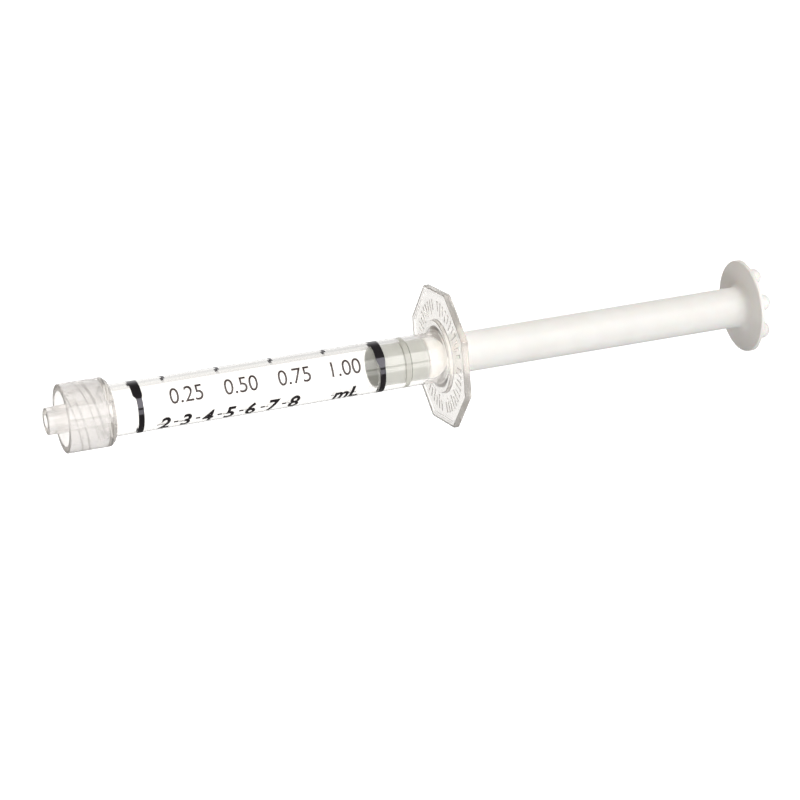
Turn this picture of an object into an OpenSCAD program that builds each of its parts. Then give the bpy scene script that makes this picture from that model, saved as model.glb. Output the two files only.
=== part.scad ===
// Disposable Luer-lock dental syringe with a clear barrel and a white round plunger.
// The axis of the syringe is +X. The origin is the open end of the nozzle, on the axis.
// +Z is up, square to one flat of the octagonal finger flange. Millimetres throughout.

/* [Luer-lock front] */
// Outside diameter of the nozzle at its open end
nozzle_tip_d = 3.95; // [3.90:0.01:4.00]
// How far the nozzle stands out in front of the lock collar
nozzle_lead = 2.3; // [2.1:0.1:3]
// Length of the nozzle, from its open end to the floor of the lock collar
nozzle_len = 8; // [7.5:0.1:9]
// Diameter of the outlet channel
outlet_d = 2; // [1.2:0.1:2.4]
// Outside diameter of the lock collar
collar_d = 10; // [9.6:0.1:11]
// Length of the lock collar
collar_len = 6.9; // [6.4:0.1:7.5]
// Chamfer on the rear edge of the lock collar
collar_chamfer = 0.5; // [0.2:0.1:0.8]
// Root diameter of the lock thread
thread_root_d = 8; // [7.9:0.1:8.1]
// Crest diameter of the lock thread
thread_crest_d = 7; // [6.9:0.1:7.1]
// Lead of the double-start, right-hand lock thread
thread_lead = 5; // [4.8:0.1:5.2]

/* [Barrel] */
// Outside diameter of the barrel tube
barrel_d = 7.5; // [7:0.1:9]
// Diameter of the bore that the piston runs in
bore_d = 6.25; // [5.5:0.05:6.3]
// Front end of the bore, measured from the nozzle's open end
bore_start = 9.3; // [9.2:0.1:11]
// Front face of the finger flange, measured from the nozzle's open end
flange_x = 59.8; // [55:0.1:75]

/* [Finger flange] */
// Diameter across the corners of the octagonal flange
flange_corner_d = 21.9; // [18:0.1:26]
// Thickness of the flange
flange_t = 1.05; // [0.8:0.05:2]
// Width of the raised rim around the front of the flange
rim_w = 0.85; // [0.5:0.05:1.5]
// Depth of the panel inside the raised rim
panel_depth = 0.25; // [0.1:0.05:0.4]
// Radius of the flare where the barrel meets the flange
flare_r = 1.25; // [0.8:0.05:1.5]

/* [Plunger] */
// Front edge of the piston, with the plunger drawn back to its rest place
piston_x = 49.2; // [30:0.1:52]
// Length of the piston
piston_len = 8; // [7:0.1:9]
// Diameter of the rod where it leaves the piston
rod_front_d = 6; // [5:0.05:6.05]
// Diameter of the rod at the thumb disc
rod_rear_d = 6.14; // [5.5:0.02:7]
// Front face of the thumb disc, measured from the nozzle's open end
disc_x = 110; // [90:0.1:125]
// Diameter of the thumb disc
disc_d = 14.14; // [12:0.02:18]
// Thickness of the thumb disc
disc_t = 0.65; // [0.5:0.05:1.5]
// Number of round nubs on the back of the thumb disc
nub_count = 8; // [6:1:8]
// Diameter of each nub
nub_d = 2.6; // [2:0.1:3]

/* [Printed scale] */
// Volume between two long graduations, in cubic millimetres
scale_step_volume = 250; // [200:10:300]
// Height of the printed figures
figure_h = 2.4; // [1.5:0.1:3]
// Thickness of the ink
ink_t = 0.03; // [0.02:0.01:0.05]

/* [Hidden] */
$fn = 96;
eps = 0.01;

// Luer front
nozzle_taper = 0.06;
tip_round = 0.2;
floor_x = nozzle_len;
nozzle_base_d = nozzle_tip_d + nozzle_taper * nozzle_len;
collar_rear_x = nozzle_lead + collar_len;
mouth_chamfer = 0.15;

// Lock thread
thread_starts = 2;
thread_from_x = nozzle_lead + 0.75;
thread_to_x = floor_x - 0.75;
thread_crest_w = 0.7;
thread_root_w = 1.3;
thread_bite = 0.15;
thread_steps = 24;
thread_fade_steps = 4;
thread_phase = 20;

// Barrel
barrel_end_x = flange_x + flange_t;
mouth_lead_in = 0.3;
boss_step_w = 0.5;
boss_step_t = 0.3;
flare_end_r = barrel_d / 2 + flare_r;
boss_r = flare_end_r + boss_step_w;
flange_turn = 360 / 16;
panel_corner_d = flange_corner_d - 2 * rim_w / cos(flange_turn);

// Piston and its seal ring
seal_gap = 0.015;
body_gap = 0.065;
lip_len = 0.7;
lip_r = bore_d / 2 - seal_gap;
body_r = bore_d / 2 - body_gap;
cup_r = 2.8;
cup_floor_r = 2.5;
cup_depth = 2.2;
ring_x = piston_x + 4.75;
ring_wire_r = 0.45;
ring_squeeze = 0.01;
groove_w = 1.05;
ring_centre_r = lip_r - ring_wire_r;
groove_r = ring_centre_r - ring_wire_r + ring_squeeze;
piston_end_x = piston_x + piston_len;

// Spigot of the rod and its socket in the piston
fit_gap = 0.05;
face_gap = 0.1;
neck_r = 1.2;
barb_r = 1.55;
barb_nose_r = 1;
neck_len = 3;
barb_land = 1;
barb_nose_len = 0.6;
rod_front_x = piston_end_x + face_gap;
barb_rear_x = rod_front_x - neck_len;
barb_land_x = barb_rear_x - barb_land;
barb_nose_x = barb_land_x - barb_nose_len;

// Rod and thumb disc
core_d = 3.6;
core_wall = 3;
disc_fillet = 1;
nub_circle_r = 5.75;
nub_sink = 0.2;
nub_phase = 75;
disc_end_x = disc_x + disc_t;

// Printed marks: angles run around the axis from -Y (0) up to +Z (90)
ink_r = barrel_d / 2 + ink_t;
print_from = -77;
print_to = 103;
scale_step = scale_step_volume / (PI * pow(bore_d / 2, 2));
tick_count = 4;
tick_w = 0.4;
tick_from = 77;
band_w = 0.85;
band_wide_w = 1.4;
band_wide_from = 35;
front_band_x = 12.6;
front_band_front_flare = 0.4;
rear_band_front_flare = 0.3;
rear_band_x = bore_start + (tick_count + 1) * scale_step - band_w;
figure_pitch = 1.5;
point_pitch = 0.75;
point_x = 1.75;
figure_line = 0.24;
point_line = 0.31;
bold_line = 0.36;
bar_line = 0.29;
bar_len = 0.67;
bar_place = 0.62;
upper_row_angle = 26;
lower_row_angle = -39;
lean = 0.24;
tenths_first = 2;
tenths_last = 8;
unit_x = 42;
unit_pitch = 2.5;

// Turn a shape made along +Z so that it lies along +X.
module along_x() {
    rotate([0, 90, 0]) children();
}

// Solid cylinder or cone along X.
module turned(x_from, x_to, r_from, r_to) {
    translate([x_from, 0, 0])
        along_x() cylinder(h = x_to - x_from, r1 = r_from, r2 = r_to);
}

// Concave ring that blends a round bar of radius r into a plane at x_face, on the side of -X.
module concave_fillet(x_face, r, fillet) {
    translate([x_face - fillet, 0, 0])
        along_x() rotate_extrude() translate([r, 0]) difference() {
            translate([-fillet / 2, 0]) square([fillet * 3 / 2, fillet]);
            translate([fillet, 0]) circle(r = fillet);
        }
}

// Octagonal prism with a flat facing -Z.
module octagon(x_from, thickness, corner_d) {
    translate([x_from, 0, 0])
        along_x() rotate([0, 0, flange_turn]) cylinder(h = thickness, d = corner_d, $fn = 8);
}

// One rib of the lock thread: a trapezium swept along a right-hand helix, fading at both ends.
module thread_rib(start_angle) {
    rise = thread_to_x - thread_from_x;
    turn = 360 * rise / thread_lead;
    root_r = thread_root_d / 2;
    crest_r = thread_crest_d / 2;
    function fade(i) = min(1, i / thread_fade_steps, (thread_steps - i) / thread_fade_steps);
    function crest(i) = root_r - max(0.05, (root_r - crest_r) * fade(i));
    function section(i) = [[root_r + thread_bite, -thread_root_w / 2], [crest(i), -thread_crest_w / 2],
                           [crest(i), thread_crest_w / 2], [root_r + thread_bite, thread_root_w / 2]];
    function place(p, i) = let (a = start_angle + turn * i / thread_steps)
        [p[0] * cos(a), p[0] * sin(a), thread_from_x + rise * i / thread_steps + p[1]];
    points = [for (i = [0:thread_steps]) for (p = section(i)) place(p, i)];
    sides = [for (i = [0:thread_steps - 1]) for (k = [0:3])
        let (a = 4 * i + k, b = 4 * i + (k + 1) % 4) each [[a, b + 4, b], [a, a + 4, b + 4]]];
    last = 4 * thread_steps;
    caps = [[0, 1, 2], [0, 2, 3], [last, last + 2, last + 1], [last, last + 3, last + 2]];
    along_x() polyhedron(points = points, faces = concat(sides, caps));
}

// Nozzle with its standard 6 percent taper and a small lead at the open end.
module nozzle() {
    turned(0, tip_round, nozzle_tip_d / 2 - tip_round / 2, nozzle_tip_d / 2);
    turned(tip_round, floor_x + eps, nozzle_tip_d / 2, nozzle_base_d / 2);
}

// Lock collar: an open cup around the nozzle, with the thread inside.
module lock_collar() {
    difference() {
        union() {
            turned(nozzle_lead, collar_rear_x - collar_chamfer, collar_d / 2, collar_d / 2);
            turned(collar_rear_x - collar_chamfer, collar_rear_x,
                  collar_d / 2, collar_d / 2 - collar_chamfer);
        }
        turned(nozzle_lead - eps, floor_x, thread_root_d / 2, thread_root_d / 2);
        turned(nozzle_lead - eps, nozzle_lead + mouth_chamfer,
              thread_root_d / 2 + mouth_chamfer, thread_root_d / 2);
    }
    for (k = [0:thread_starts - 1]) thread_rib(thread_phase + 360 * k / thread_starts);
}

// Flange: an octagon with a raised rim, a sunk front panel and a stepped boss at the barrel.
module finger_flange() {
    difference() {
        octagon(flange_x, flange_t, flange_corner_d);
        octagon(flange_x - 1, 1 + panel_depth, panel_corner_d);
    }
    turned(flange_x - boss_step_t, flange_x + flange_t / 2, boss_r, boss_r);
    concave_fillet(flange_x - boss_step_t, barrel_d / 2, flare_r);
}

module barrel() {
    color([0.92, 0.93, 0.92, 0.35]) difference() {
        union() {
            nozzle();
            lock_collar();
            turned(floor_x, barrel_end_x, barrel_d / 2, barrel_d / 2);
            finger_flange();
        }
        turned(-1, bore_start + 1, outlet_d / 2, outlet_d / 2);
        turned(bore_start, barrel_end_x + 1, bore_d / 2, bore_d / 2);
        turned(barrel_end_x - mouth_lead_in, barrel_end_x + eps,
              bore_d / 2, bore_d / 2 + mouth_lead_in);
    }
}

// Thin skin of ink around the barrel.
module ink_skin(x_from, x_to) {
    difference() {
        turned(x_from, x_to, ink_r, ink_r);
        turned(x_from - 1, x_to + 1, barrel_d / 2, barrel_d / 2);
    }
}

// Wedge around the axis between two angles less than 180 degrees apart.
module wedge(x_from, x_to, angle_from, angle_to) {
    reach = barrel_d;
    mid = (angle_from + angle_to) / 2;
    outline = [for (a = [angle_from, mid, angle_to]) [-reach * cos(a), reach * sin(a)]];
    translate([x_from, 0, 0]) rotate([90, 0, 90])
        linear_extrude(x_to - x_from) polygon(concat([[0, 0]], outline));
}

// Sector of ink skin between two angles.
module ink_arc(x_from, x_to, angle_from, angle_to) {
    intersection() {
        ink_skin(x_from, x_to);
        wedge(x_from - 1, x_to + 1, angle_from, angle_to);
    }
}

// Printed band: half way round the barrel, and wider over its upper part.
module band(x_from, front_flare) {
    ink_arc(x_from, x_from + band_w, print_from, band_wide_from);
    ink_arc(x_from - front_flare, x_from - front_flare + band_wide_w, band_wide_from, print_to);
}

module front_band_print() {
    color([0.05, 0.05, 0.05]) band(front_band_x, front_band_front_flare);
}

module rear_band_print() {
    color([0.05, 0.05, 0.05]) band(rear_band_x, rear_band_front_flare);
}

module scale_ticks_print() {
    color([0.05, 0.05, 0.05]) for (k = [1:tick_count]) {
        x = bore_start + k * scale_step;
        ink_arc(x - tick_w / 2, x + tick_w / 2, tick_from, print_to);
    }
}

// Pen strokes of each figure, in a cell 0.56 wide and 1 high:
// four numbers are the ends of a straight stroke, five are an arc's centre, radius and two angles.
function strokes(figure) =
    figure == "0" ? [[0.28, 0.72, 0.28, 0, 180], [0.28, 0.28, 0.28, 180, 360],
                     [0, 0.28, 0, 0.72], [0.56, 0.28, 0.56, 0.72]] :
    figure == "1" ? [[0.34, 0, 0.34, 1], [0.34, 1, 0.14, 0.82]] :
    figure == "2" ? [[0.28, 0.72, 0.28, -35, 170], [0.5, 0.55, 0, 0], [0, 0, 0.56, 0]] :
    figure == "3" ? [[0.28, 0.76, 0.24, -90, 160], [0.28, 0.27, 0.27, -160, 90]] :
    figure == "4" ? [[0.42, 0, 0.42, 1], [0.42, 1, 0, 0.3], [0, 0.3, 0.56, 0.3]] :
    figure == "5" ? [[0.5, 1, 0.12, 1], [0.12, 1, 0.06, 0.56], [0.24, 0.31, 0.31, -140, 125]] :
    figure == "6" ? [[0.28, 0.3, 0.3, 0, 360], [0.02, 0.42, 0.38, 1]] :
    figure == "7" ? [[0, 1, 0.56, 1], [0.56, 1, 0.18, 0]] :
    figure == "8" ? [[0.28, 0.75, 0.24, 0, 360], [0.28, 0.27, 0.28, 0, 360]] :
    figure == "m" ? [[0, 0, 0, 0.64], [0.2, 0.44, 0.2, 0, 180], [0.4, 0, 0.4, 0.44],
                     [0.6, 0.44, 0.2, 0, 180], [0.8, 0, 0.8, 0.44]] :
    figure == "L" ? [[0, 0, 0, 1], [0, 0, 0.5, 0]] :
    figure == "." ? [[0, 0.05, 0.01, 0.05]] :
    [];

// Straight pen stroke, running half its width past both ends.
module straight_stroke(from, to, line) {
    run = to - from;
    translate(from) rotate(atan2(run[1], run[0]))
        translate([-line / 2, -line / 2]) square([norm(run) + line, line]);
}

// Curved pen stroke.
module curved_stroke(centre, r, angle_from, angle_to, line) {
    steps = 8;
    fan = [for (i = [0:steps]) let (a = angle_from + (angle_to - angle_from) * i / steps)
        2 * r * [cos(a), sin(a)]];
    translate(centre) intersection() {
        difference() {
            circle(r = r + line / 2, $fn = 32);
            circle(r = r - line / 2, $fn = 32);
        }
        if (angle_to - angle_from < 360) polygon(concat([[0, 0]], fan));
    }
}

// One printed figure, leaning to the right by slant.
module figure_shape(figure, line, slant) {
    function leaning(x, y) = figure_h * [x + slant * y, y];
    for (s = strokes(figure)) {
        if (len(s) == 4) straight_stroke(leaning(s[0], s[1]), leaning(s[2], s[3]), line);
        else curved_stroke(leaning(s[0], s[1]), figure_h * s[2], s[3], s[4], line);
    }
}

// Press flat shapes on to the barrel's skin at an angle around it, their middle height on that angle.
module printed(angle) {
    difference() {
        intersection() {
            turned(bore_start, piston_x, ink_r, ink_r);
            rotate([-angle, 0, 0]) rotate([90, 0, 0]) translate([0, -figure_h / 2, barrel_d / 4])
                linear_extrude(barrel_d) children();
        }
        turned(bore_start - 1, flange_x, barrel_d / 2, barrel_d / 2);
    }
}

// Volumes in millilitres beside the long graduations: 0.25, 0.50, 0.75 and 1.00.
module volume_figures_print() {
    labels = ["0.25", "0.50", "0.75", "1.00"];
    color([0.3, 0.24, 0.22]) printed(upper_row_angle)
        for (k = [0:tick_count - 1]) translate([bore_start + (k + 1) * scale_step, 0]) {
            figure_shape(labels[k][0], figure_line, 0);
            translate([point_x, 0]) figure_shape(".", point_line, 0);
            for (i = [2:3]) translate([(i - 1) * figure_pitch + point_pitch, 0])
                figure_shape(labels[k][i], figure_line, 0);
        }
}

// Tenths of a millilitre, with a short bar half way to the next, and the unit.
module tenths_figures_print() {
    tenth = scale_step * 100 / scale_step_volume;
    color([0.03, 0.03, 0.03]) {
        for (k = [tenths_first:tenths_last]) {
            printed(lower_row_angle) translate([bore_start + k * tenth, 0])
                figure_shape(str(k), bold_line, lean);
            if (k < tenths_last)
                printed(lower_row_angle) translate([bore_start + (k + bar_place) * tenth, figure_h / 2])
                    square([bar_len, bar_line]);
        }
        printed(lower_row_angle) translate([unit_x, 0])
            figure_shape("m", bold_line, lean);
        printed(lower_row_angle) translate([unit_x + unit_pitch, 0])
            figure_shape("L", bold_line, lean);
    }
}

// Piston: a cupped front lip, a groove for the seal ring, and a socket that snaps on the rod.
module piston() {
    color([0.66, 0.68, 0.65]) difference() {
        union() {
            turned(piston_x, piston_x + lip_len, lip_r, lip_r);
            turned(piston_x + lip_len, piston_end_x, body_r, body_r);
        }
        turned(piston_x - eps, piston_x + cup_depth, cup_r, cup_floor_r);
        difference() {
            turned(ring_x - groove_w / 2, ring_x + groove_w / 2, bore_d, bore_d);
            turned(ring_x - groove_w, ring_x + groove_w, groove_r, groove_r);
        }
        turned(barb_rear_x - eps, piston_end_x + 1, neck_r + fit_gap, neck_r + fit_gap);
        turned(barb_nose_x - face_gap, barb_rear_x + fit_gap, barb_r + fit_gap, barb_r + fit_gap);
    }
}

module o_ring() {
    color([0.78, 0.78, 0.74]) translate([ring_x, 0, 0])
        along_x() rotate_extrude() translate([ring_centre_r, 0]) circle(r = ring_wire_r, $fn = 32);
}

// Dome on the back of the thumb disc.
module nub() {
    intersection() {
        translate([disc_end_x + nub_sink, 0, nub_circle_r]) sphere(d = nub_d, $fn = 48);
        translate([disc_x + disc_t / 2, -nub_d, nub_circle_r - nub_d]) cube(2 * nub_d);
    }
}

// Rod: snap spigot, drafted round shank with a blind moulding core, and the thumb disc.
module plunger_rod() {
    color([0.95, 0.95, 0.93]) difference() {
        union() {
            turned(barb_nose_x, barb_land_x, barb_nose_r, barb_r);
            turned(barb_land_x, barb_rear_x, barb_r, barb_r);
            turned(barb_rear_x - eps, rod_front_x + eps, neck_r, neck_r);
            turned(rod_front_x, disc_x + disc_t / 2, rod_front_d / 2, rod_rear_d / 2);
            concave_fillet(disc_x, rod_rear_d / 2 - eps, disc_fillet);
            turned(disc_x, disc_end_x, disc_d / 2, disc_d / 2);
            for (k = [0:nub_count - 1]) rotate([nub_phase + 360 * k / nub_count, 0, 0]) nub();
        }
        turned(rod_front_x + core_wall, disc_end_x + 1, core_d / 2, core_d / 2);
    }
}

barrel();
front_band_print();
rear_band_print();
scale_ticks_print();
volume_figures_print();
tenths_figures_print();
piston();
o_ring();
plunger_rod();
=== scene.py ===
"""Looks of the disposable Luer-lock dental syringe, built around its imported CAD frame.

The axis of the syringe is +X, from the nozzle to the thumb disc, and +Z is up. Outlines are written in
millimetres as (x, radius) corners, and become metres when a mesh is made. Angles around the axis, in
degrees, run from the front, -Y (0), up to the top, +Z (90).
"""
import math

import bmesh
import bpy
from mathutils import Matrix, Vector

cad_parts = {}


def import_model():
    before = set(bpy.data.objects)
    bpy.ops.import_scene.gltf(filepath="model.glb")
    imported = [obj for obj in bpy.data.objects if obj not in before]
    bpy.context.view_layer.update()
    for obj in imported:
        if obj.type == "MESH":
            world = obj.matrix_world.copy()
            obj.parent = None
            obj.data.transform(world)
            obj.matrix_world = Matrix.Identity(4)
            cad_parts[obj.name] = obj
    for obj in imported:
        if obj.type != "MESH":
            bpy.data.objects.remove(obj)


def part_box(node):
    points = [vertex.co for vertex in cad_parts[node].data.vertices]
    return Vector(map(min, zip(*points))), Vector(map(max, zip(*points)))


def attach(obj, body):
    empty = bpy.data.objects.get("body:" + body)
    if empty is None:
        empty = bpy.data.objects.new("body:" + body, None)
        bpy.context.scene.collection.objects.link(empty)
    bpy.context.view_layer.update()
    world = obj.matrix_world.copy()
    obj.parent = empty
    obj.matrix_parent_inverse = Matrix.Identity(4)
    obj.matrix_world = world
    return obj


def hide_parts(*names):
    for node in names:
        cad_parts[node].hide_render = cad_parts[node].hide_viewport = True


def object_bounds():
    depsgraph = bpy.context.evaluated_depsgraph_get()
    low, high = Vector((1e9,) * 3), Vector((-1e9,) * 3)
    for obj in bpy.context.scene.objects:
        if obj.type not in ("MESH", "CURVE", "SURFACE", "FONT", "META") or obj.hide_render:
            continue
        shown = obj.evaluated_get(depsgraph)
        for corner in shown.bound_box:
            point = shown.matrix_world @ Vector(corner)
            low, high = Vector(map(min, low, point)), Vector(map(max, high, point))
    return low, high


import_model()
cad_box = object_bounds()

MM = 0.001


def node_mm(node):
    """Lowest and highest corner of a CAD node, in millimetres."""
    low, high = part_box(node)
    return low / MM, high / MM


# ---------------------------------------------------------------- sizes, in millimetres
BARREL_HIGH = node_mm("barrel")[1]
PISTON_LOW, PISTON_HIGH = node_mm("piston")
RING_LOW, RING_HIGH = node_mm("o_ring")
ROD_LOW, ROD_HIGH = node_mm("plunger_rod")
TICKS_LOW, TICKS_HIGH = node_mm("scale_ticks_print")

# Luer-lock front. Each rib of the thread starts so many degrees before the bottom, and fades in and out
# over THREAD_FADE degrees.
TIP_R = 1.975
TIP_DRAWN_IN = 0.02
NOZZLE_TAPER = 0.06
OUTLET_R = 1.0
COLLAR_FRONT_X = 2.3
COLLAR_FLOOR_X = 8.0
COLLAR_REAR_X = 9.2
COLLAR_R = 5.0
COLLAR_CHAMFER = 0.5
THREAD_ROOT_R = 4.0
THREAD_CREST_R = 3.5
THREAD_LEAD = 5.0
THREAD_STARTS = (20.0, 200.0)
BOTTOM = 270
THREAD_FROM_X = 3.05
THREAD_TO_X = 7.25
THREAD_CREST_W = 0.7
THREAD_ROOT_W = 1.3
THREAD_FADE = 50.0

# Rings close together carry the thread's ribs, clear of the fillets at both ends of the collar's wall
THREAD_RING_GAP = 0.08
THREAD_RINGS_FROM_X = COLLAR_FLOOR_X - 0.2
THREAD_RINGS_TO_X = COLLAR_FRONT_X + 0.25

# Barrel and finger flange
BARREL_R = 3.75
BORE_R = 3.125
BORE_START_X = 9.3
FLARE_R = 1.25
BOSS_R = 5.5
BOSS_STEP = 0.3
FLANGE_T = 1.05
FLANGE_APOTHEM = BARREL_HIGH.z
BARREL_END_X = BARREL_HIGH.x
FLANGE_X = BARREL_END_X - FLANGE_T
RIM_W = 0.85
PANEL_DEPTH = 0.25
PANEL_X = FLANGE_X + PANEL_DEPTH
MOUTH_LEAD_IN = 0.3

# Raised grip ribs on the front panel of the flange. Every other rib is shorter by SHORT_RIB_STEP.
RIB_H = 0.1
RIB_FROM_R = 6.3
RIB_TO_R = 8.5
RIB_SLOPE = 0.12
SHORT_RIB_STEP = 0.6
RIBS_PER_GROUP = 12
FIRST_RING_R = BOSS_R + 0.5

# Points around the axis: steps along each side of the octagon, then one rounded corner. A rib falls to
# nothing RIB_HALF_STEPS from its middle.
SIDES = 8
SIDE_TURN = 360 / SIDES
RIB_TURN = 7.5
STEPS_PER_RIB = 8
STEP_TURN = RIB_TURN / STEPS_PER_RIB
RIB_HALF_STEPS = 2
CORNER_STEPS = 6
CORNER_SHARE = 0.045

# A rounded corner's support points stand off by this share of its fillet
SUPPORT_SHARE = 0.12

# Edges that turn by more than this many degrees stay sharp
SHARP_TURN = 35.0

# Piston and its ring, which both press into the bore's wall by CONTACT
CONTACT = 0.02
PISTON_X = PISTON_LOW.x
PISTON_END_X = PISTON_HIGH.x
PISTON_BODY_R = 3.06
LIP_W = 0.7
LIP_SLOPE = 0.15
RING_X = (RING_LOW.x + RING_HIGH.x) / 2
RING_DEPTH = 0.89
GROOVE_W = 1.05
CUP_R = 2.85
CUP_FLOOR_R = 2.55
CUP_DEPTH = 2.2

# Plunger rod, with the spigot that snaps into the piston
FACE_GAP = 0.1
FIT_GAP = 0.05
NECK_R = 1.2
BARB_R = 1.55
BARB_NOSE_R = 1.0
ROD_FRONT_X = PISTON_END_X + FACE_GAP
BARB_REAR_X = ROD_FRONT_X - 3.0
BARB_LAND_X = BARB_REAR_X - 1.0
BARB_NOSE_X = ROD_LOW.x
ROD_FRONT_R = 3.0
ROD_REAR_R = 3.07
DISC_R = ROD_HIGH.z
DISC_FRONT_X = 110.0
DISC_T = 0.65
DISC_END_X = DISC_FRONT_X + DISC_T
DISC_FILLET = 1.0
CORE_R = 1.8
CORE_X = ROD_FRONT_X + 3.0
NUB_COUNT = 8
NUB_R = 1.3
NUB_CIRCLE_R = 5.75
NUB_SINK = 0.2
NUB_FIRST_ANGLE = 15.0

# Ink, with the angles that it covers
INK_T = 0.03
INK_SINK = 0.006
PRINT_FROM = -77.0
PRINT_TO = 103.0
BAND_NARROW_W = 0.85
BAND_WIDE_W = 1.4
BAND_FRONT_SHARE = 0.7
TICK_W = 0.4
TICK_COUNT = 4
TICK_FROM = 77.0
TICK_GAP = (TICKS_HIGH.x - TICKS_LOW.x - TICK_W) / (TICK_COUNT - 1)

# Printed figures. CAP_HEIGHT is the built-in font's own, in its units. The slices that let a figure bend
# reach past its height by SLICED_SHARE.
FIGURE_H = 2.4
CAP_HEIGHT = 0.729
MERGE_DISTANCE = 0.0005
SLICE_H = 0.2
SLICED_SHARE = 1.4
VOLUME_LABELS = ("0.25", "0.50", "0.75", "1.00")
VOLUME_ROW = 26.0
TENTHS_PER_TICK = 2.5
TENTH = TICK_GAP / TENTHS_PER_TICK
TENTH_FIRST = 2
TENTH_LAST = 8
TENTHS_ROW = -39.0
TENTH_SHIFT = 0.25
BAR_PLACE = 0.62
BAR_LEN = 0.67
BAR_HALF_TURN = 2.2
UNIT_X = 42.0

# Grain of the plastics: cells per metre, how finely each is broken up, and the bumps' height in metres.
# Most of a noise field lies between NOISE_LOW and NOISE_HIGH.
CLOUD_GRAIN = 260
CLOUD_DETAIL = 3
GLOSS_GRAIN = 900
GLOSS_DETAIL = 4
BUMP_DETAIL = 3
BUMP_H = 0.00002
NOISE_LOW = 0.3
NOISE_HIGH = 0.7

# Density of the absorbing volume, per metre, which its colour then scales down
ABSORPTION_SCALE = 100

# Studio, in metres: the place that the camera looks at, the floor's half width and how bright it looks
CENTRE = Vector((53.3, 0, -5.65)) * MM
FLOOR_HALF = 2.5
FLOOR_SEEN = 1.25
FLOOR_LIT_LESS = 0.75
FLOOR_MIRRORED_LESS = 1.2


# ---------------------------------------------------------------- mesh helpers
def arc_points(before, corner, after, fillet, steps):
    """Points of the arc that rounds a corner, with a support point just outside each end."""
    to_before = (before - corner).normalized()
    to_after = (after - corner).normalized()
    half_angle = to_before.angle(to_after) / 2
    reach = fillet / math.tan(half_angle)
    centre = corner + (to_before + to_after).normalized() * fillet / math.sin(half_angle)
    start = corner + to_before * reach
    end = corner + to_after * reach
    support = SUPPORT_SHARE * fillet
    turn = (start - centre).angle_signed(end - centre)
    points = [start + to_before * support]
    for i in range(steps + 1):
        points.append(centre + Matrix.Rotation(-turn * i / steps, 2) @ (start - centre))
    points.append(end + to_after * support)
    return points


def rounded(corners, closed, steps=6):
    """Outline, as (x, radius, shape), of corners with fillets, as (x, radius, fillet, shape)."""
    outline = []
    count = len(corners)
    for i, (x, r, fillet, shape) in enumerate(corners):
        at_end = not closed and i in (0, count - 1)
        if fillet == 0 or at_end:
            outline.append((x, r, shape))
            continue
        before = Vector(corners[i - 1][:2])
        after = Vector(corners[(i + 1) % count][:2])
        for p in arc_points(before, Vector((x, r)), after, fillet, steps):
            outline.append((p.x, p.y, shape))
    return outline


def stretch(corners, steps=6):
    """Rounded outline between its first and last corner, which only show the way that the wall runs."""
    return rounded(corners, closed=False, steps=steps)[1:-1]


def ring_angles():
    """Angles around the axis, with extra ones at the flange's rounded corners."""
    half_side = (1 - CORNER_SHARE) * math.tan(math.radians(SIDE_TURN / 2))
    straight = math.degrees(math.atan(half_side))
    corner = SIDE_TURN - 2 * straight
    steps = int(straight // STEP_TURN)
    angles = []
    for side in range(SIDES):
        middle = side * SIDE_TURN
        angles += [middle + STEP_TURN * i for i in range(-steps, steps + 1)]
        angles += [middle + straight + corner * i / CORNER_STEPS for i in range(CORNER_STEPS + 1)]
    return angles


def round_shape(x, r, angle):
    """A shape moves an outline's point, (x, radius), at an angle. A round one leaves it alone."""
    return x, r


def octagon_shape(x, r, angle):
    """Eight flat sides at distance r from the axis, with slightly rounded corners."""
    off = abs((angle + SIDE_TURN / 2) % SIDE_TURN - SIDE_TURN / 2)
    corner_r = CORNER_SHARE * r
    half_side = (r - corner_r) * math.tan(math.radians(SIDE_TURN / 2))
    if r * math.tan(math.radians(off)) <= half_side:
        return x, r / math.cos(math.radians(off))
    from_corner = math.radians(SIDE_TURN / 2 - off)
    centre = (r - corner_r) / math.cos(math.radians(SIDE_TURN / 2))
    across = centre * math.sin(from_corner)
    return x, centre * math.cos(from_corner) + math.sqrt(corner_r ** 2 - across ** 2)


def smooth(t):
    """0 up to t = 0 and 1 from t = 1 on, with a smooth step between them."""
    t = min(1.0, max(0.0, t))
    return t * t * (3 - 2 * t)


def thread_shape(x, r, angle):
    """The collar's inner wall, with the two ribs of the right-hand lock thread."""
    height = 0.0
    full_turn = 360 * (THREAD_TO_X - THREAD_FROM_X) / THREAD_LEAD
    for start in THREAD_STARTS:
        turn = (BOTTOM - angle - start) % 360
        if turn > full_turn:
            continue
        off = abs(x - THREAD_FROM_X - THREAD_LEAD * turn / 360)
        slope = (THREAD_ROOT_W - THREAD_CREST_W) / 2
        fade = smooth(min(turn, full_turn - turn) / THREAD_FADE)
        height = max(height, fade * smooth((THREAD_ROOT_W / 2 - off) / slope))
    return x, r - (THREAD_ROOT_R - THREAD_CREST_R) * height


def panel_shape(x, r, angle):
    """The flange's front panel, with short raised grip ribs in four groups."""
    number = angle // RIB_TURN
    off = abs(angle % RIB_TURN - RIB_TURN / 2)
    in_gap = number % RIBS_PER_GROUP == 0
    rise = 0.0 if in_gap else min(1.0, max(0.0, RIB_HALF_STEPS - off / STEP_TURN))
    inner = RIB_FROM_R + (SHORT_RIB_STEP if number % 2 else 0)
    rise *= smooth((r - inner) / RIB_SLOPE) * smooth((RIB_TO_R - r) / RIB_SLOPE)
    return x - RIB_H * rise, r


def on_axis(x, r, angle):
    """Metre coordinates of a point at radius r and an angle around the axis."""
    a = math.radians(angle)
    return Vector((x, -r * math.cos(a), r * math.sin(a))) * MM


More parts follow.
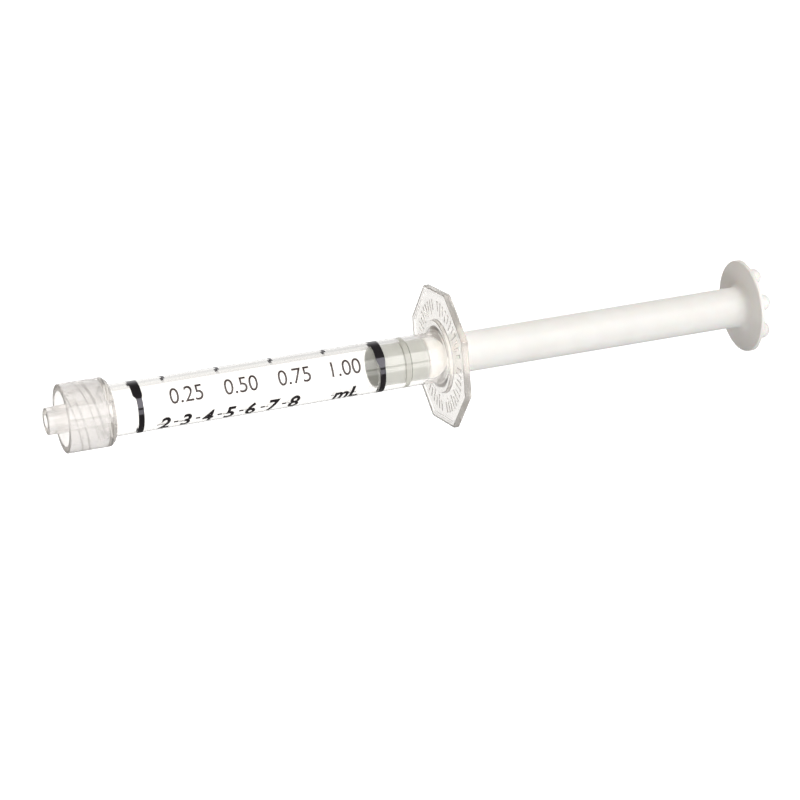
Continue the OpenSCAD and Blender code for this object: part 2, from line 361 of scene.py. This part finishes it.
def revolve(bm, outline, angles, closed):
    """Surface of revolution about the axis. An open outline starts and ends on the axis."""
    rings = []
    for x, r, shape in outline:
        if r == 0:
            rings.append([bm.verts.new(Vector((x, 0, 0)) * MM)])
            continue
        rings.append([bm.verts.new(on_axis(*shape(x, r, a), a)) for a in angles])
    pairs = list(zip(rings, rings[1:]))
    if closed:
        pairs.append((rings[-1], rings[0]))
    count = len(angles)
    for one, two in pairs:
        for i in range(count):
            j = (i + 1) % count
            if len(one) == 1:
                bm.faces.new((one[0], two[i], two[j]))
            elif len(two) == 1:
                bm.faces.new((one[j], one[i], two[0]))
            else:
                bm.faces.new((one[i], one[j], two[j], two[i]))
    bmesh.ops.recalc_face_normals(bm, faces=bm.faces)


def copy_into(target, source, moved):
    """Copy a bmesh into another, each vertex at moved(its coordinates), and free it."""
    new_verts = [target.verts.new(moved(v.co)) for v in source.verts]
    source.verts.index_update()
    for face in source.faces:
        target.faces.new([new_verts[v.index] for v in face.verts])
    source.free()


def shade(mesh):
    """Smooth shading, apart from the sharp edges."""
    mesh.polygons.foreach_set("use_smooth", [True] * len(mesh.polygons))
    mesh.set_sharp_from_angle(angle=math.radians(SHARP_TURN))


def new_piece(name, bm, material):
    """Object made from a bmesh, which is freed."""
    mesh = bpy.data.meshes.new(name)
    bm.to_mesh(mesh)
    bm.free()
    shade(mesh)
    mesh.materials.append(material)
    piece = bpy.data.objects.new(name, mesh)
    bpy.context.scene.collection.objects.link(piece)
    return piece


def finish_piece(piece, body, node):
    """Let the piece move with a body and stand in for a CAD node."""
    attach(piece, body)
    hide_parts(node)


# ---------------------------------------------------------------- materials
def new_material(name):
    material = bpy.data.materials.new(name)
    material.use_nodes = True
    tree = material.node_tree
    tree.nodes.clear()
    return material, tree


def noise_field(tree, grain, detail):
    """Noise in the piece's own space; grain is in cells per metre."""
    place = tree.nodes.new("ShaderNodeTexCoord")
    field = tree.nodes.new("ShaderNodeTexNoise")
    field.inputs["Scale"].default_value = grain
    field.inputs["Detail"].default_value = detail
    tree.links.new(place.outputs["Object"], field.inputs["Vector"])
    return field.outputs["Fac"]


def mapped(tree, value, low, high):
    """A noise field's usual values spread over low to high."""
    node = tree.nodes.new("ShaderNodeMapRange")
    node.inputs["From Min"].default_value = NOISE_LOW
    node.inputs["From Max"].default_value = NOISE_HIGH
    node.inputs["To Min"].default_value = low
    node.inputs["To Max"].default_value = high
    tree.links.new(value, node.inputs["Value"])
    return node.outputs["Result"]


def calculated(tree, operation, one, two):
    """Result of a Math node; one and two are sockets or numbers."""
    node = tree.nodes.new("ShaderNodeMath")
    node.operation = operation
    for socket, value in zip(node.inputs, (one, two)):
        if isinstance(value, float):
            socket.default_value = value
        else:
            tree.links.new(value, socket)
    return node.outputs["Value"]


def along(tree, space):
    """X, Y and Z outputs of a place, or of a direction in the world, in one of Blender's spaces."""
    place = tree.nodes.new("ShaderNodeTexCoord")
    split = tree.nodes.new("ShaderNodeSeparateXYZ")
    tree.links.new(place.outputs[space], split.inputs["Vector"])
    return split.outputs


def eased(tree, value, start, end):
    """0 up to the start and 1 from the end on, with a smooth step between them."""
    node = tree.nodes.new("ShaderNodeMapRange")
    node.interpolation_type = "SMOOTHSTEP"
    node.inputs["From Min"].default_value = start
    node.inputs["From Max"].default_value = end
    tree.links.new(value, node.inputs["Value"])
    return node.outputs["Result"]


def zone(tree, x_from, x_to, ease):
    """1 within a stretch of the axis and 0 outside it. The last ease millimetres at each end blend."""
    middle = (x_from + x_to) / 2 * MM
    half_length = (x_to - x_from) / 2 * MM
    off = calculated(tree, "SUBTRACT", along(tree, "Object")["X"], middle)
    distance = calculated(tree, "ABSOLUTE", off, 0.0)
    return eased(tree, distance, half_length, half_length - ease * MM)


def mixed_colour(tree, factor, one, two):
    """Colour between two others, each a socket or (red, green, blue)."""
    node = tree.nodes.new("ShaderNodeMix")
    node.data_type = "RGBA"
    tree.links.new(factor, node.inputs["Factor"])
    for socket, value in ((node.inputs["A"], one), (node.inputs["B"], two)):
        if isinstance(value, tuple):
            socket.default_value = (*value, 1)
        else:
            tree.links.new(value, socket)
    return node.outputs["Result"]


def mirror_ray(tree):
    """1 for a ray that has just left a mirroring surface, and 0 for one that has passed through it."""
    path = tree.nodes.new("ShaderNodeLightPath").outputs
    return calculated(tree, "GREATER_THAN", path["Is Glossy Ray"], path["Is Transmission Ray"])


def see_through(tree, surface, output, absorbs):
    """Surface that lets the lamps shine through, over a volume that absorbs some light on the way."""
    volume = tree.nodes.new("ShaderNodeVolumeAbsorption")
    volume.inputs["Density"].default_value = ABSORPTION_SCALE
    volume.inputs["Color"].default_value = (*(1 - value / ABSORPTION_SCALE for value in absorbs), 1)
    tree.links.new(volume.outputs["Volume"], output.inputs["Volume"])
    path = tree.nodes.new("ShaderNodeLightPath")
    clear = tree.nodes.new("ShaderNodeBsdfTransparent")
    mix = tree.nodes.new("ShaderNodeMixShader")
    tree.links.new(path.outputs["Is Shadow Ray"], mix.inputs["Fac"])
    tree.links.new(surface, mix.inputs[1])
    tree.links.new(clear.outputs["BSDF"], mix.inputs[2])
    return mix.outputs["Shader"]


def plastic(name, colours, roughness, grain, bump, shader_values, absorbs=None, zones=()):
    """Moulded plastic: cloudy colour between two tones, uneven gloss and a fine surface grain.

    Clear plastic absorbs a little light, as (red, green, blue) per metre. A zone is (x from, x to, ease,
    extra roughness, haze, tone), with lengths in millimetres: there it is thick, so it looks duller and
    milkier.
    """
    material, tree = new_material(name)
    shader = tree.nodes.new("ShaderNodeBsdfPrincipled")
    for socket, value in shader_values.items():
        shader.inputs[socket].default_value = value
    cloud = mapped(tree, noise_field(tree, CLOUD_GRAIN, CLOUD_DETAIL), 0, 1)
    colour = mixed_colour(tree, cloud, *colours)
    gloss = mapped(tree, noise_field(tree, GLOSS_GRAIN, GLOSS_DETAIL), *roughness)
    clearness = None
    for x_from, x_to, ease, duller, haze, tone in zones:
        inside = zone(tree, x_from, x_to, ease)
        gloss = calculated(tree, "ADD", gloss, calculated(tree, "MULTIPLY", inside, duller))
        milky = calculated(tree, "MULTIPLY", inside, haze)
        clearness = calculated(tree, "SUBTRACT", clearness or 1.0, milky)
        colour = mixed_colour(tree, inside, colour, tone)
    tree.links.new(colour, shader.inputs["Base Color"])
    tree.links.new(gloss, shader.inputs["Roughness"])
    if clearness:
        tree.links.new(clearness, shader.inputs["Transmission Weight"])
    bumps = tree.nodes.new("ShaderNodeBump")
    bumps.inputs["Strength"].default_value = bump
    bumps.inputs["Distance"].default_value = BUMP_H
    tree.links.new(noise_field(tree, grain, BUMP_DETAIL), bumps.inputs["Height"])
    tree.links.new(bumps.outputs["Normal"], shader.inputs["Normal"])
    output = tree.nodes.new("ShaderNodeOutputMaterial")
    surface = shader.outputs["BSDF"]
    if absorbs:
        surface = see_through(tree, surface, output, absorbs)
    tree.links.new(surface, output.inputs["Surface"])
    return material


# The two thick stretches of the clear plastic, as plastic() takes them
COLLAR_ZONE = (-2, COLLAR_REAR_X + 0.2, 0.4, 0.06, 0.24, (0.865, 0.855, 0.848))
FLANGE_ZONE = (FLANGE_X - 4, BARREL_END_X + 3, 2.6, 0.015, 0.18, (0.965, 0.952, 0.938))
CLEAR_PLASTIC = plastic(
    "clear_plastic", colours=((0.965, 0.955, 0.94), (0.985, 0.98, 0.97)), roughness=(0.02, 0.05),
    grain=1400, bump=0.05, shader_values={"Transmission Weight": 1.0, "IOR": 1.49},
    absorbs=(26, 30, 36), zones=(COLLAR_ZONE, FLANGE_ZONE))
BLACK_INK = plastic(
    "black_ink", colours=((0.006, 0.005, 0.005), (0.013, 0.010, 0.011)), roughness=(0.07, 0.12),
    grain=9000, bump=0.1,
    shader_values={"Specular IOR Level": 0.95, "Specular Tint": (0.93, 0.90, 1.0, 1)})
BROWN_INK = plastic(
    "brown_ink", colours=((0.045, 0.030, 0.028), (0.10, 0.072, 0.066)), roughness=(0.14, 0.22),
    grain=9000, bump=0.15, shader_values={"Specular IOR Level": 0.4})
PISTON_PLASTIC = plastic(
    "piston_plastic", colours=((0.60, 0.61, 0.565), (0.68, 0.685, 0.64)), roughness=(0.08, 0.15),
    grain=3000, bump=0.08,
    shader_values={"Transmission Weight": 0.25, "IOR": 1.5, "Specular IOR Level": 1.0})
RING_RUBBER = plastic(
    "ring_rubber", colours=((0.60, 0.60, 0.55), (0.68, 0.68, 0.63)), roughness=(0.5, 0.65),
    grain=4000, bump=0.2, shader_values={"Specular IOR Level": 0.4})
WHITE_PLASTIC = plastic(
    "white_plastic", colours=((0.86, 0.85, 0.82), (0.90, 0.89, 0.865)), roughness=(0.3, 0.42),
    grain=3500, bump=0.12,
    shader_values={"Specular IOR Level": 0.5, "Subsurface Weight": 0.15, "Subsurface Scale": 0.001})


# ---------------------------------------------------------------- pieces
ANGLES = ring_angles()


def spaced(x_from, x_to, gap, r, shape):
    """Outline points along a straight wall, a fixed gap apart, without its ends."""
    count = round(abs(x_to - x_from) / gap)
    return [(x_from + (x_to - x_from) * i / count, r, shape) for i in range(1, count)]


def barrel():
    """One clear moulding: nozzle, lock collar, tube and octagonal finger flange.

    The collar's floor meets its wall in a small undercut.
    """
    plain, octagon = round_shape, octagon_shape
    nozzle_base_r = TIP_R + NOZZLE_TAPER / 2 * COLLAR_FLOOR_X
    boss_x = FLANGE_X - BOSS_STEP
    rim_apothem = FLANGE_APOTHEM - RIM_W
    front = stretch([
        (0, OUTLET_R, 0, plain),
        (0, TIP_R - TIP_DRAWN_IN, 0.16, plain),
        (COLLAR_FLOOR_X, nozzle_base_r, 0.25, plain),
        (COLLAR_FLOOR_X, THREAD_ROOT_R, 0.15, plain),
        (COLLAR_REAR_X, THREAD_ROOT_R, 0, plain)])
    thread = spaced(THREAD_RINGS_FROM_X, THREAD_RINGS_TO_X, THREAD_RING_GAP, THREAD_ROOT_R, thread_shape)
    outside = stretch([
        (COLLAR_FLOOR_X, THREAD_ROOT_R, 0, plain),
        (COLLAR_FRONT_X, THREAD_ROOT_R, 0.16, plain),
        (COLLAR_FRONT_X, COLLAR_R, 0.16, plain),
        (COLLAR_REAR_X - COLLAR_CHAMFER, COLLAR_R, 0.3, plain),
        (COLLAR_REAR_X, COLLAR_R - COLLAR_CHAMFER, 0.12, plain),
        (COLLAR_REAR_X, BARREL_R, 0.2, plain),
        (boss_x, BARREL_R, FLARE_R, plain),
        (boss_x, BOSS_R, 0.12, plain),
        (PANEL_X, BOSS_R, 0.12, plain),
        (PANEL_X, rim_apothem, 0, plain)], steps=8)
    ribs = [(PANEL_X, r, panel_shape) for r in rib_radii()]
    rear = stretch([
        (PANEL_X, BOSS_R, 0, octagon),
        (PANEL_X, rim_apothem, 0.1, octagon),
        (FLANGE_X, rim_apothem, 0.1, octagon),
        (FLANGE_X, FLANGE_APOTHEM, 0.28, octagon),
        (BARREL_END_X, FLANGE_APOTHEM, 0.28, octagon),
        (BARREL_END_X, BORE_R + MOUTH_LEAD_IN, 0.06, plain),
        (BARREL_END_X - MOUTH_LEAD_IN, BORE_R, 0.2, plain),
        (BORE_START_X, BORE_R, 0.35, plain),
        (BORE_START_X, OUTLET_R, 0.1, plain),
        (0, OUTLET_R, 0.12, plain),
        (0, TIP_R, 0, plain)])
    bm = bmesh.new()
    revolve(bm, front + thread + outside + ribs + rear, ANGLES, closed=True)
    finish_piece(new_piece("clear_barrel", bm, CLEAR_PLASTIC), "barrel", "barrel")


def rib_radii():
    """Radii of the panel's rings: half a slope apart, from just before to just after each slope."""
    radii = [FIRST_RING_R]
    for slope_r in (RIB_FROM_R, RIB_FROM_R + SHORT_RIB_STEP, RIB_TO_R - RIB_SLOPE):
        radii += [slope_r + RIB_SLOPE / 2 * k for k in range(-1, 4)]
    return radii


def ink_sector(bm, edges, angle_from, angle_to, step=1.5):
    """Thin closed skin on the barrel. edges(angle) gives its front and rear x."""
    count = max(2, round((angle_to - angle_from) / step))
    inner, outer = BARREL_R - INK_SINK, BARREL_R + INK_T
    rows = []
    for i in range(count + 1):
        angle = angle_from + (angle_to - angle_from) * i / count
        x_front, x_rear = edges(angle)
        corners = ((x_front, inner), (x_front, outer), (x_rear, outer), (x_rear, inner))
        rows.append([bm.verts.new(on_axis(x, r, angle)) for x, r in corners])
    for one, two in zip(rows, rows[1:]):
        for k in range(4):
            bm.faces.new((one[k], one[(k + 1) % 4], two[(k + 1) % 4], two[k]))
    bm.faces.new(rows[0])
    bm.faces.new(rows[-1])
    bmesh.ops.recalc_face_normals(bm, faces=bm.faces)


def band(node, taper_from, taper_to):
    """Band round the printed half of the barrel, wider above the angles of its taper."""
    front_flare = (BAND_WIDE_W - BAND_NARROW_W) * BAND_FRONT_SHARE
    rear_flare = (BAND_WIDE_W - BAND_NARROW_W) * (1 - BAND_FRONT_SHARE)
    narrow_x = node_mm(node)[0].x + front_flare

    def edges(angle):
        widen = smooth((angle - taper_from) / (taper_to - taper_from))
        return narrow_x - front_flare * widen, narrow_x + BAND_NARROW_W + rear_flare * widen

    bm = bmesh.new()
    ink_sector(bm, edges, PRINT_FROM, PRINT_TO)
    piece = new_piece(node.replace("print", "ink"), bm, BLACK_INK)
    finish_piece(piece, "barrel", node)


def scale_ticks():
    """Long graduations over the top of the barrel."""
    bm = bmesh.new()
    for k in range(TICK_COUNT):
        x = TICKS_LOW.x + k * TICK_GAP
        ink_sector(bm, lambda angle: (x, x + TICK_W), TICK_FROM, PRINT_TO)
    piece = new_piece("scale_ticks_ink", bm, BLACK_INK)
    finish_piece(piece, "barrel", "scale_ticks_print")


# ---------------------------------------------------------------- printed figures
def flat_text(body, weight=0.0, lean=0.0, width=0.92):
    """Bmesh of figures FIGURE_H high, from x = 0, with their middle height on y = 0.

    Their outer face has z above 0, and their inner face has z below 0.
    """
    curve = bpy.data.curves.new("figures", "FONT")
    curve.body = body
    curve.extrude = 0.5
    curve.offset = weight
    curve.shear = lean
    holder = bpy.data.objects.new("figures", curve)
    bm = bmesh.new()
    bm.from_mesh(holder.to_mesh())
    bpy.data.objects.remove(holder)
    bpy.data.curves.remove(curve)
    scale = FIGURE_H / CAP_HEIGHT
    low_x = min(v.co.x for v in bm.verts)
    for v in bm.verts:
        v.co = Vector(((v.co.x - low_x) * scale * width, v.co.y * scale - FIGURE_H / 2, v.co.z))
    bmesh.ops.remove_doubles(bm, verts=bm.verts, dist=MERGE_DISTANCE)
    slices = round(FIGURE_H * SLICED_SHARE / SLICE_H)
    for k in range(slices + 1):
        y = (k - slices / 2) * SLICE_H
        geometry = bm.verts[:] + bm.edges[:] + bm.faces[:]
        bmesh.ops.bisect_plane(bm, geom=geometry, plane_co=(0, y, 0), plane_no=(0, 1, 0))
    return bm


def wrap_text(target, source, x_from, middle_angle):
    """Copy flat text on to the barrel, its middle height at an angle around the axis."""
    def bent(co):
        r = BARREL_R + (INK_T if co.z > 0 else -INK_SINK)
        return on_axis(x_from + co.x, r, middle_angle + math.degrees(co.y / BARREL_R))

    copy_into(target, source, bent)


def volume_figures():
    """0.25 to 1.00, each beside its long graduation."""
    bm = bmesh.new()
    for k, label in enumerate(VOLUME_LABELS):
        wrap_text(bm, flat_text(label), TICKS_LOW.x + TICK_W / 2 + k * TICK_GAP, VOLUME_ROW)
    bmesh.ops.recalc_face_normals(bm, faces=bm.faces)
    piece = new_piece("volume_figures_ink", bm, BROWN_INK)
    finish_piece(piece, "barrel", "volume_figures_print")


def tenths_figures():
    """Tenths of a millilitre, with a short bar half way to the next, and the unit."""
    bold = {"weight": 0.026, "lean": 0.24, "width": 0.95}
    bar_from = TENTHS_ROW - BAR_HALF_TURN
    bar_to = TENTHS_ROW + BAR_HALF_TURN
    bm = bmesh.new()
    for k in range(TENTH_FIRST, TENTH_LAST + 1):
        x = BORE_START_X + k * TENTH
        wrap_text(bm, flat_text(str(k), **bold), x - TENTH_SHIFT, TENTHS_ROW)
        if k < TENTH_LAST:
            bar_x = x + BAR_PLACE * TENTH
            ink_sector(bm, lambda angle: (bar_x, bar_x + BAR_LEN), bar_from, bar_to)
    wrap_text(bm, flat_text("mL", **bold), UNIT_X, TENTHS_ROW)
    bmesh.ops.recalc_face_normals(bm, faces=bm.faces)
    piece = new_piece("tenths_figures_ink", bm, BLACK_INK)
    finish_piece(piece, "barrel", "tenths_figures_print")


# ---------------------------------------------------------------- piston, ring and rod
def piston():
    """Cupped piston with a lip, a ring groove and a socket for the rod."""
    lip_r = BORE_R + CONTACT
    groove_r = RING_HIGH.z - RING_DEPTH
    groove_x = RING_X - GROOVE_W / 2
    groove_end_x = RING_X + GROOVE_W / 2
    plain = round_shape
    outline = rounded([
        (PISTON_X + CUP_DEPTH, 0, 0, plain),
        (PISTON_X + CUP_DEPTH, CUP_FLOOR_R, 0.7, plain),
        (PISTON_X, CUP_R, 0.08, plain),
        (PISTON_X, lip_r, 0.1, plain),
        (PISTON_X + LIP_W, lip_r, 0.1, plain),
        (PISTON_X + LIP_W + LIP_SLOPE, PISTON_BODY_R, 0.1, plain),
        (groove_x, PISTON_BODY_R, 0.08, plain),
        (groove_x, groove_r, 0.08, plain),
        (groove_end_x, groove_r, 0.08, plain),
        (groove_end_x, PISTON_BODY_R, 0.08, plain),
        (PISTON_END_X, PISTON_BODY_R, 0.15, plain),
        (PISTON_END_X, NECK_R + FIT_GAP, 0.1, plain),
        (BARB_REAR_X + FIT_GAP, NECK_R + FIT_GAP, 0, plain),
        (BARB_REAR_X + FIT_GAP, BARB_R + FIT_GAP, 0.08, plain),
        (BARB_NOSE_X - FACE_GAP, BARB_R + FIT_GAP, 0.1, plain),
        (BARB_NOSE_X - FACE_GAP, 0, 0, plain)], closed=False)
    bm = bmesh.new()
    revolve(bm, outline, ANGLES, closed=False)
    finish_piece(new_piece("grey_piston", bm, PISTON_PLASTIC), "piston", "piston")


def seal_ring():
    """Pale ring squeezed flat against the bore."""
    outer_r = BORE_R + CONTACT
    inner_r = RING_HIGH.z - RING_DEPTH
    corners = [(x, r, 0.16, round_shape) for x, r in (
        (RING_LOW.x, inner_r), (RING_LOW.x, outer_r), (RING_HIGH.x, outer_r), (RING_HIGH.x, inner_r))]
    bm = bmesh.new()
    revolve(bm, rounded(corners, closed=True), ANGLES, closed=True)
    finish_piece(new_piece("seal_ring", bm, RING_RUBBER), "piston", "o_ring")


def dome(bm, base_x, centre_x, r, from_axis, angle, steps=12):
    """Round-topped knob on the thumb disc, from base_x, inside the disc, to centre_x + r."""
    sink = math.asin((centre_x - base_x) / r)
    outline = [(base_x, 0, round_shape)]
    for i in range(steps):
        turn = -sink + (math.pi / 2 + sink) * i / steps
        outline.append((centre_x + r * math.sin(turn), r * math.cos(turn), round_shape))
    outline.append((centre_x + r, 0, round_shape))
    sides = 4 * steps
    knob = bmesh.new()
    revolve(knob, outline, [360 * k / sides for k in range(sides)], closed=False)
    place = on_axis(0, from_axis, angle)
    copy_into(bm, knob, lambda co: co + place)


def plunger_rod():
    """White rod: snap spigot, drafted shank, thumb disc with its nubs, and a blind moulding core."""
    plain = round_shape
    outline = rounded([
        (BARB_NOSE_X, 0, 0, plain),
        (BARB_NOSE_X, BARB_NOSE_R, 0.08, plain),
        (BARB_LAND_X, BARB_R, 0.1, plain),
        (BARB_REAR_X, BARB_R, 0.08, plain),
        (BARB_REAR_X, NECK_R, 0.08, plain),
        (ROD_FRONT_X, NECK_R, 0.08, plain),
        (ROD_FRONT_X, ROD_FRONT_R, 0.3, plain),
        (DISC_FRONT_X, ROD_REAR_R, DISC_FILLET, plain),
        (DISC_FRONT_X, DISC_R, 0.22, plain),
        (DISC_END_X, DISC_R, 0.22, plain),
        (DISC_END_X, CORE_R, 0.25, plain),
        (CORE_X, CORE_R, 0.4, plain),
        (CORE_X, 0, 0, plain)], closed=False, steps=8)
    bm = bmesh.new()
    revolve(bm, outline, ANGLES, closed=False)
    rod = new_piece("white_plunger", bm, WHITE_PLASTIC)

    bm = bmesh.new()
    for k in range(NUB_COUNT):
        angle = NUB_FIRST_ANGLE + 360 * k / NUB_COUNT
        dome(bm, DISC_FRONT_X + DISC_T / 2, DISC_END_X + NUB_SINK, NUB_R, NUB_CIRCLE_R, angle)
    knobs = new_piece("knobs", bm, WHITE_PLASTIC)
    union = rod.modifiers.new("knobs", "BOOLEAN")
    union.operation = "UNION"
    union.solver = "EXACT"
    union.object = knobs
    merged = bpy.data.meshes.new_from_object(rod.evaluated_get(bpy.context.evaluated_depsgraph_get()))
    rod.modifiers.clear()
    rod.data = merged
    shade(merged)
    bpy.data.objects.remove(knobs)
    finish_piece(rod, "plunger", "plunger_rod")


# ---------------------------------------------------------------- studio
def floor():
    """Pale glowing floor that the flange rests on, dimmer as a light and as a mirror image."""
    material, tree = new_material("pale_floor")
    shader = tree.nodes.new("ShaderNodeBsdfPrincipled")
    shader.inputs["Base Color"].default_value = (0.1, 0.1, 0.1, 1)
    shader.inputs["Roughness"].default_value = 0.9
    shader.inputs["Emission Color"].default_value = (1, 1, 1, 1)
    path = tree.nodes.new("ShaderNodeLightPath")
    lit_less = calculated(tree, "MULTIPLY", path.outputs["Is Diffuse Ray"], FLOOR_LIT_LESS)
    mirrored_less = calculated(tree, "MULTIPLY", mirror_ray(tree), FLOOR_MIRRORED_LESS)
    strength = calculated(tree, "SUBTRACT", FLOOR_SEEN, lit_less)
    strength = calculated(tree, "SUBTRACT", strength, mirrored_less)
    tree.links.new(strength, shader.inputs["Emission Strength"])
    output = tree.nodes.new("ShaderNodeOutputMaterial")
    tree.links.new(shader.outputs["BSDF"], output.inputs["Surface"])
    sides = ((-1, -1), (1, -1), (1, 1), (-1, 1))
    bm = bmesh.new()
    bm.faces.new([bm.verts.new((x * FLOOR_HALF, y * FLOOR_HALF, cad_box[0].z)) for x, y in sides])
    new_piece("floor", bm, material)


def world():
    """Studio walls: grey in front, white behind, and darker towards the nozzle and the thumb disc.

    The ceiling is bright, but looks dark in a mirroring surface.
    """
    studio = bpy.data.worlds.new("studio")
    studio.use_nodes = True
    bpy.context.scene.world = studio
    tree = studio.node_tree
    towards = along(tree, "Generated")
    to_back = eased(tree, towards["Y"], -0.2, 0.5)
    to_top = eased(tree, towards["Z"], 0.35, 0.9)
    to_thumb_side = eased(tree, towards["X"], 0.12, 0.7)
    to_nozzle_side = eased(tree, towards["X"], 0.12, -0.32)
    ceiling = mixed_colour(tree, mirror_ray(tree), (1.6, 1.58, 1.55), (0.12, 0.12, 0.12))
    colour = mixed_colour(tree, to_back, (0.42, 0.41, 0.40), (1.0, 1.0, 1.0))
    colour = mixed_colour(tree, to_top, colour, ceiling)
    colour = mixed_colour(tree, to_thumb_side, colour, (0.3, 0.3, 0.3))
    colour = mixed_colour(tree, to_nozzle_side, colour, (0.12, 0.092, 0.055))
    tree.links.new(colour, tree.nodes["Background"].inputs["Color"])


def around(azimuth, elevation, distance):
    """Place at a distance from the centre. Azimuth 0 is on -Y, and positive towards +X."""
    a, e = math.radians(azimuth), math.radians(elevation)
    direction = Vector((math.sin(a) * math.cos(e), -math.cos(a) * math.cos(e), math.sin(e)))
    return CENTRE + direction * distance


def softbox(name, place, aim, width, height, radiance, mirrored=True):
    """Rectangular lamp that shines along aim. One that isn't mirrored makes no highlight of its own."""
    light = bpy.data.lights.new(name, "AREA")
    light.shape = "RECTANGLE"
    light.size = width
    light.size_y = height
    light.energy = radiance * math.pi * width * height
    lamp = bpy.data.objects.new(name, light)
    lamp.location = place
    lamp.rotation_euler = aim.to_track_quat("-Z", "Y").to_euler()
    lamp.visible_camera = False
    lamp.visible_glossy = mirrored
    lamp.visible_transmission = mirrored
    bpy.context.scene.collection.objects.link(lamp)


def lamps():
    """A high softbox in front, a panel on the floor in front, and a small panel over the rod."""
    high = around(azimuth=22, elevation=27, distance=0.6)
    low = Vector((0.13, -0.105, cad_box[0].z + 0.0005))
    over_rod = Vector((0.079, 0.015, 0.09))
    up, down = Vector((0, 0, 1)), Vector((0, 0, -1))
    softbox("front_softbox", high, CENTRE - high, width=0.35, height=0.45, radiance=2.35)
    softbox("low_front_panel", low, up, width=0.26, height=0.16, radiance=1.7)
    softbox("over_rod_panel", over_rod, down, width=0.05, height=0.06, radiance=1.85, mirrored=False)


def camera():
    """Long lens, a little above the syringe and towards its nozzle, turned slightly clockwise."""
    azimuth, elevation, roll = -19.7, 15.03, -4.4
    distance = 0.4139
    lens = bpy.data.cameras.new("camera")
    lens.sensor_width = 36
    lens.lens = 125.75
    lens.clip_start = 0.01
    lens.clip_end = 20
    piece = bpy.data.objects.new("camera", lens)
    piece.location = around(azimuth, elevation, distance)
    aim = (CENTRE - piece.location).to_track_quat("-Z", "Y")
    turn = Matrix.Rotation(math.radians(roll), 3, "Z").to_quaternion()
    piece.rotation_euler = (aim @ turn).to_euler()
    bpy.context.scene.collection.objects.link(piece)
    bpy.context.scene.camera = piece


barrel()
band("front_band_print", taper_from=30, taper_to=41)
band("rear_band_print", taper_from=10, taper_to=31)
scale_ticks()
volume_figures()
tenths_figures()
piston()
seal_ring()
plunger_rod()
floor()
world()
lamps()
camera()
bpy.context.scene.view_settings.view_transform = "Standard"
